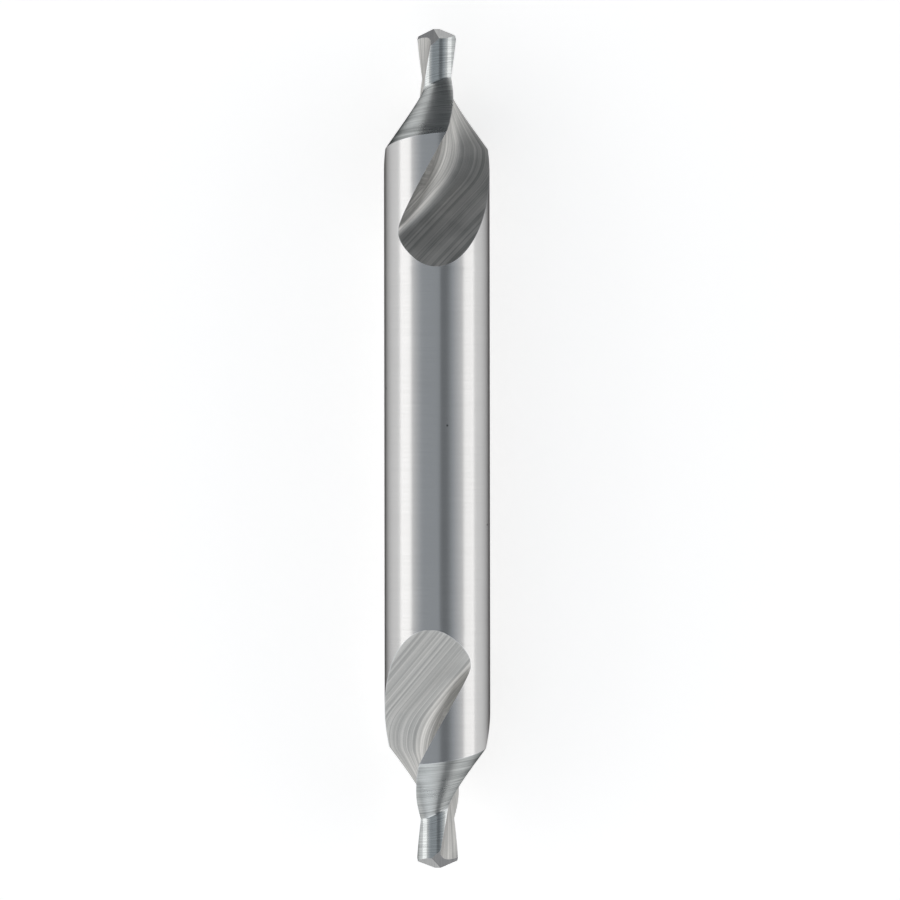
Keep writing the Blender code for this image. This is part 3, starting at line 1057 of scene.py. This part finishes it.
def floor_material():
    material = bpy.data.materials.new("pale_floor")
    material.use_nodes = True
    tree = material.node_tree
    shader = tree.nodes["Principled BSDF"]
    shader.inputs["Base Color"].default_value = FLOOR_COLOUR
    shader.inputs["Roughness"].default_value = FLOOR_ROUGHNESS
    shader.inputs["Specular IOR Level"].default_value = 0.0
    shader.inputs["Emission Color"].default_value = GLOW_COLOUR
    place = add_node(tree, "TexCoord", "place").outputs["Object"]
    far = add_node(tree, "VectorMath", "from the middle", {0: place}, operation="LENGTH")
    far = far.outputs["Value"]
    glow = ramp(tree, "more beyond the lamps", far, *GLOW_CHANGE, FLOOR_GLOW, WALL_GLOW)
    tree.links.new(background_rays(tree, glow), shader.inputs["Emission Strength"])
    return material


floor.data.materials.append(floor_material())
print("glow of the floor:", FLOOR_GLOW, "rising to", WALL_GLOW)

# %% [markdown]
# ## The tent
# A drill is photographed in a tent of white cloth, because bare lamps would leave small hard glints
# on it. A picture of a studio could stand in for the tent, but a few soft steps in brightness over
# the direction are enough, and each one has a name. The tent is darker towards the first end, which
# makes one run-out dark and the other bright. A gap in it draws the dark line down the shank, and
# its ceiling is a little cool.

# %% Tent round the drill
OVERHEAD_LIGHT, SIDE_LIGHT = 0.56, 1.1
CEILING_COLOUR, WALL_COLOUR = rgb(0.745, 0.80, 0.855), rgb(0.80, 0.80, 0.80)

# Each pair says where along the direction a change in the tent starts and where it is complete.
CEILING_TO_WALLS = (0.5, 0.92)
GAP_DEPTH, GAP_LEFT, GAP_RIGHT, GAP_ENDS = 0.5, (0.03, 0.17), (0.34, 0.58), (0.3, 0.85)
SHADED_END, SHADED_ALONG, SHADED_ACROSS = 0.4, (-0.7, -0.15), (-0.1, 0.25)
LOW_SHADE, LOW_HEIGHT, LOW_ENDS = 0.45, (0.12, 0.34), (0.6, 0.85)
DARK_END, DARK_ALONG = 0.26, (0.1, 0.75)


def gap_share(tree, axes, endways):
    """The dark gap in the tent, to the right of the middle and away from the ends."""
    into_gap = ramp(tree, "into the gap", axes["X"], *GAP_LEFT, 0.0, GAP_DEPTH)
    out_of_gap = ramp(tree, "out of the gap", axes["X"], *GAP_RIGHT, 1.0, 0.0)
    mid_length = ramp(tree, "only above the middle", endways, *GAP_ENDS, 1.0, 0.0)
    return product(tree, "short gap", product(tree, "gap", into_gap, out_of_gap), mid_length)


def shade_share(tree, axes):
    """The shaded part of the tent, on the right towards the second end."""
    along = ramp(tree, "towards the second end", axes["Y"], *SHADED_ALONG, 1.0 - SHADED_END, 0.0)
    return product(tree, "shade", along, ramp(tree, "right half", axes["X"], *SHADED_ACROSS))


def low_share(tree, axes, endways):
    """The low cloth beyond both ends, which is darker too."""
    low_down = ramp(tree, "low down", axes["Z"], *LOW_HEIGHT, 1.0 - LOW_SHADE, 0.0)
    return product(tree, "low at the ends", low_down, ramp(tree, "at the ends", endways, *LOW_ENDS))


def make_world():
    world = bpy.data.worlds.new("studio")
    world.use_nodes = True
    tree = world.node_tree
    tree.nodes.clear()
    direction = add_node(tree, "TexCoord", "direction").outputs["Generated"]
    axes = add_node(tree, "SeparateXYZ", "axes", {0: direction}).outputs
    sideways = maths(tree, "to either side", "ABSOLUTE", axes["X"])
    endways = maths(tree, "to either end", "ABSOLUTE", axes["Y"])

    tent = ramp(tree, "ceiling to walls", sideways, *CEILING_TO_WALLS, OVERHEAD_LIGHT, SIDE_LIGHT)
    darker = gap_share(tree, axes, endways), shade_share(tree, axes), low_share(tree, axes, endways)
    for share in darker:
        tent = product(tree, "darker part", tent, maths(tree, "light left", "SUBTRACT", 1.0, share))
    dark_end = ramp(tree, "towards the first end", axes["Y"], *DARK_ALONG, 1.0, DARK_END)
    tent = product(tree, "darker end", tent, dark_end)

    on_walls = ramp(tree, "on the walls", sideways, *CEILING_TO_WALLS)
    colour = blend(tree, "colour of the tent", on_walls, CEILING_COLOUR, WALL_COLOUR)
    background = add_node(tree, "Background", "background", {"Color": colour, "Strength": tent})
    add_node(tree, "OutputWorld", "output", {"Surface": background.outputs[0]})
    bpy.context.scene.world = world


make_world()
print("tent made, ceiling", OVERHEAD_LIGHT, "and walls", SIDE_LIGHT)

# %% [markdown]
# ## The soft boxes
# Two long soft boxes stand low on either side and make the bright bands down the shank. A third
# stands beyond the second end and lights its run-out. They are area lamps, because the size of a
# box sets the width of its band, and the camera doesn't see them.

# %% Soft boxes
BOX_DISTANCE = 0.4


def soft_box(name, azimuth, low, high, spread, brightness):
    """A lamp on a sphere round the drill. Azimuth 0 is to the right, 90 beyond the first end."""
    turn, rise = math.radians(azimuth), math.radians((low + high) / 2)
    level = Vector((math.cos(turn), math.sin(turn), 0.0))
    outward = level * math.cos(rise) + Vector((0.0, 0.0, math.sin(rise)))
    light = bpy.data.lights.new(name, "AREA")
    light.shape = "RECTANGLE"
    light.size = 2 * BOX_DISTANCE * math.tan(math.radians(spread / 2))
    light.size_y = 2 * BOX_DISTANCE * math.tan(math.radians((high - low) / 2))
    light.energy = brightness * math.pi * light.size * light.size_y
    lamp = bpy.data.objects.new(name, light)
    lamp.location = outward * BOX_DISTANCE + Vector((0.0, 0.0, SHANK_RADIUS))
    lamp.rotation_euler = (-outward).to_track_quat("-Z", "Y").to_euler()
    lamp.visible_camera = False
    bpy.context.scene.collection.objects.link(lamp)
    return lamp


lamps = [
    soft_box("soft_box_left", 180.0, low=3.0, high=32.0, spread=70.0, brightness=0.78),
    soft_box("soft_box_right", 0.0, low=3.0, high=30.0, spread=70.0, brightness=0.66),
    soft_box("soft_box_second_end", 259.0, low=15.0, high=46.0, spread=56.0, brightness=0.95),
]
print("soft boxes of", [round(lamp.data.energy, 4) for lamp in lamps], "W")

# %% [markdown]
# ## The camera
# The photograph looks straight at the side of the drill from far off. The drill lies on the table
# here, so the camera looks straight down, with the first end at the top of the picture.

# %% Camera
FRAME_HEIGHT = 26.82 * MM
FRAME_CENTRE = (0.384 * MM, -0.049 * MM)
CAMERA_ROLL = math.radians(-0.077)
SENSOR, LENS = 36.0, 300.0
CLIP_RANGE = 10

camera_data = bpy.data.cameras.new("camera")
camera_data.sensor_width, camera_data.lens = SENSOR, LENS
camera = bpy.data.objects.new("camera", camera_data)
distance = FRAME_HEIGHT / 2 / (SENSOR / 2 / LENS)
camera.location = (*FRAME_CENTRE, SHANK_RADIUS + distance)
camera.rotation_euler = (0.0, 0.0, CAMERA_ROLL)
camera_data.clip_start, camera_data.clip_end = distance / CLIP_RANGE, distance * CLIP_RANGE
bpy.context.scene.collection.objects.link(camera)
bpy.context.scene.camera = camera
bpy.context.scene.view_settings.view_transform = "Standard"
print("camera", round(distance, 3), "m above the drill")
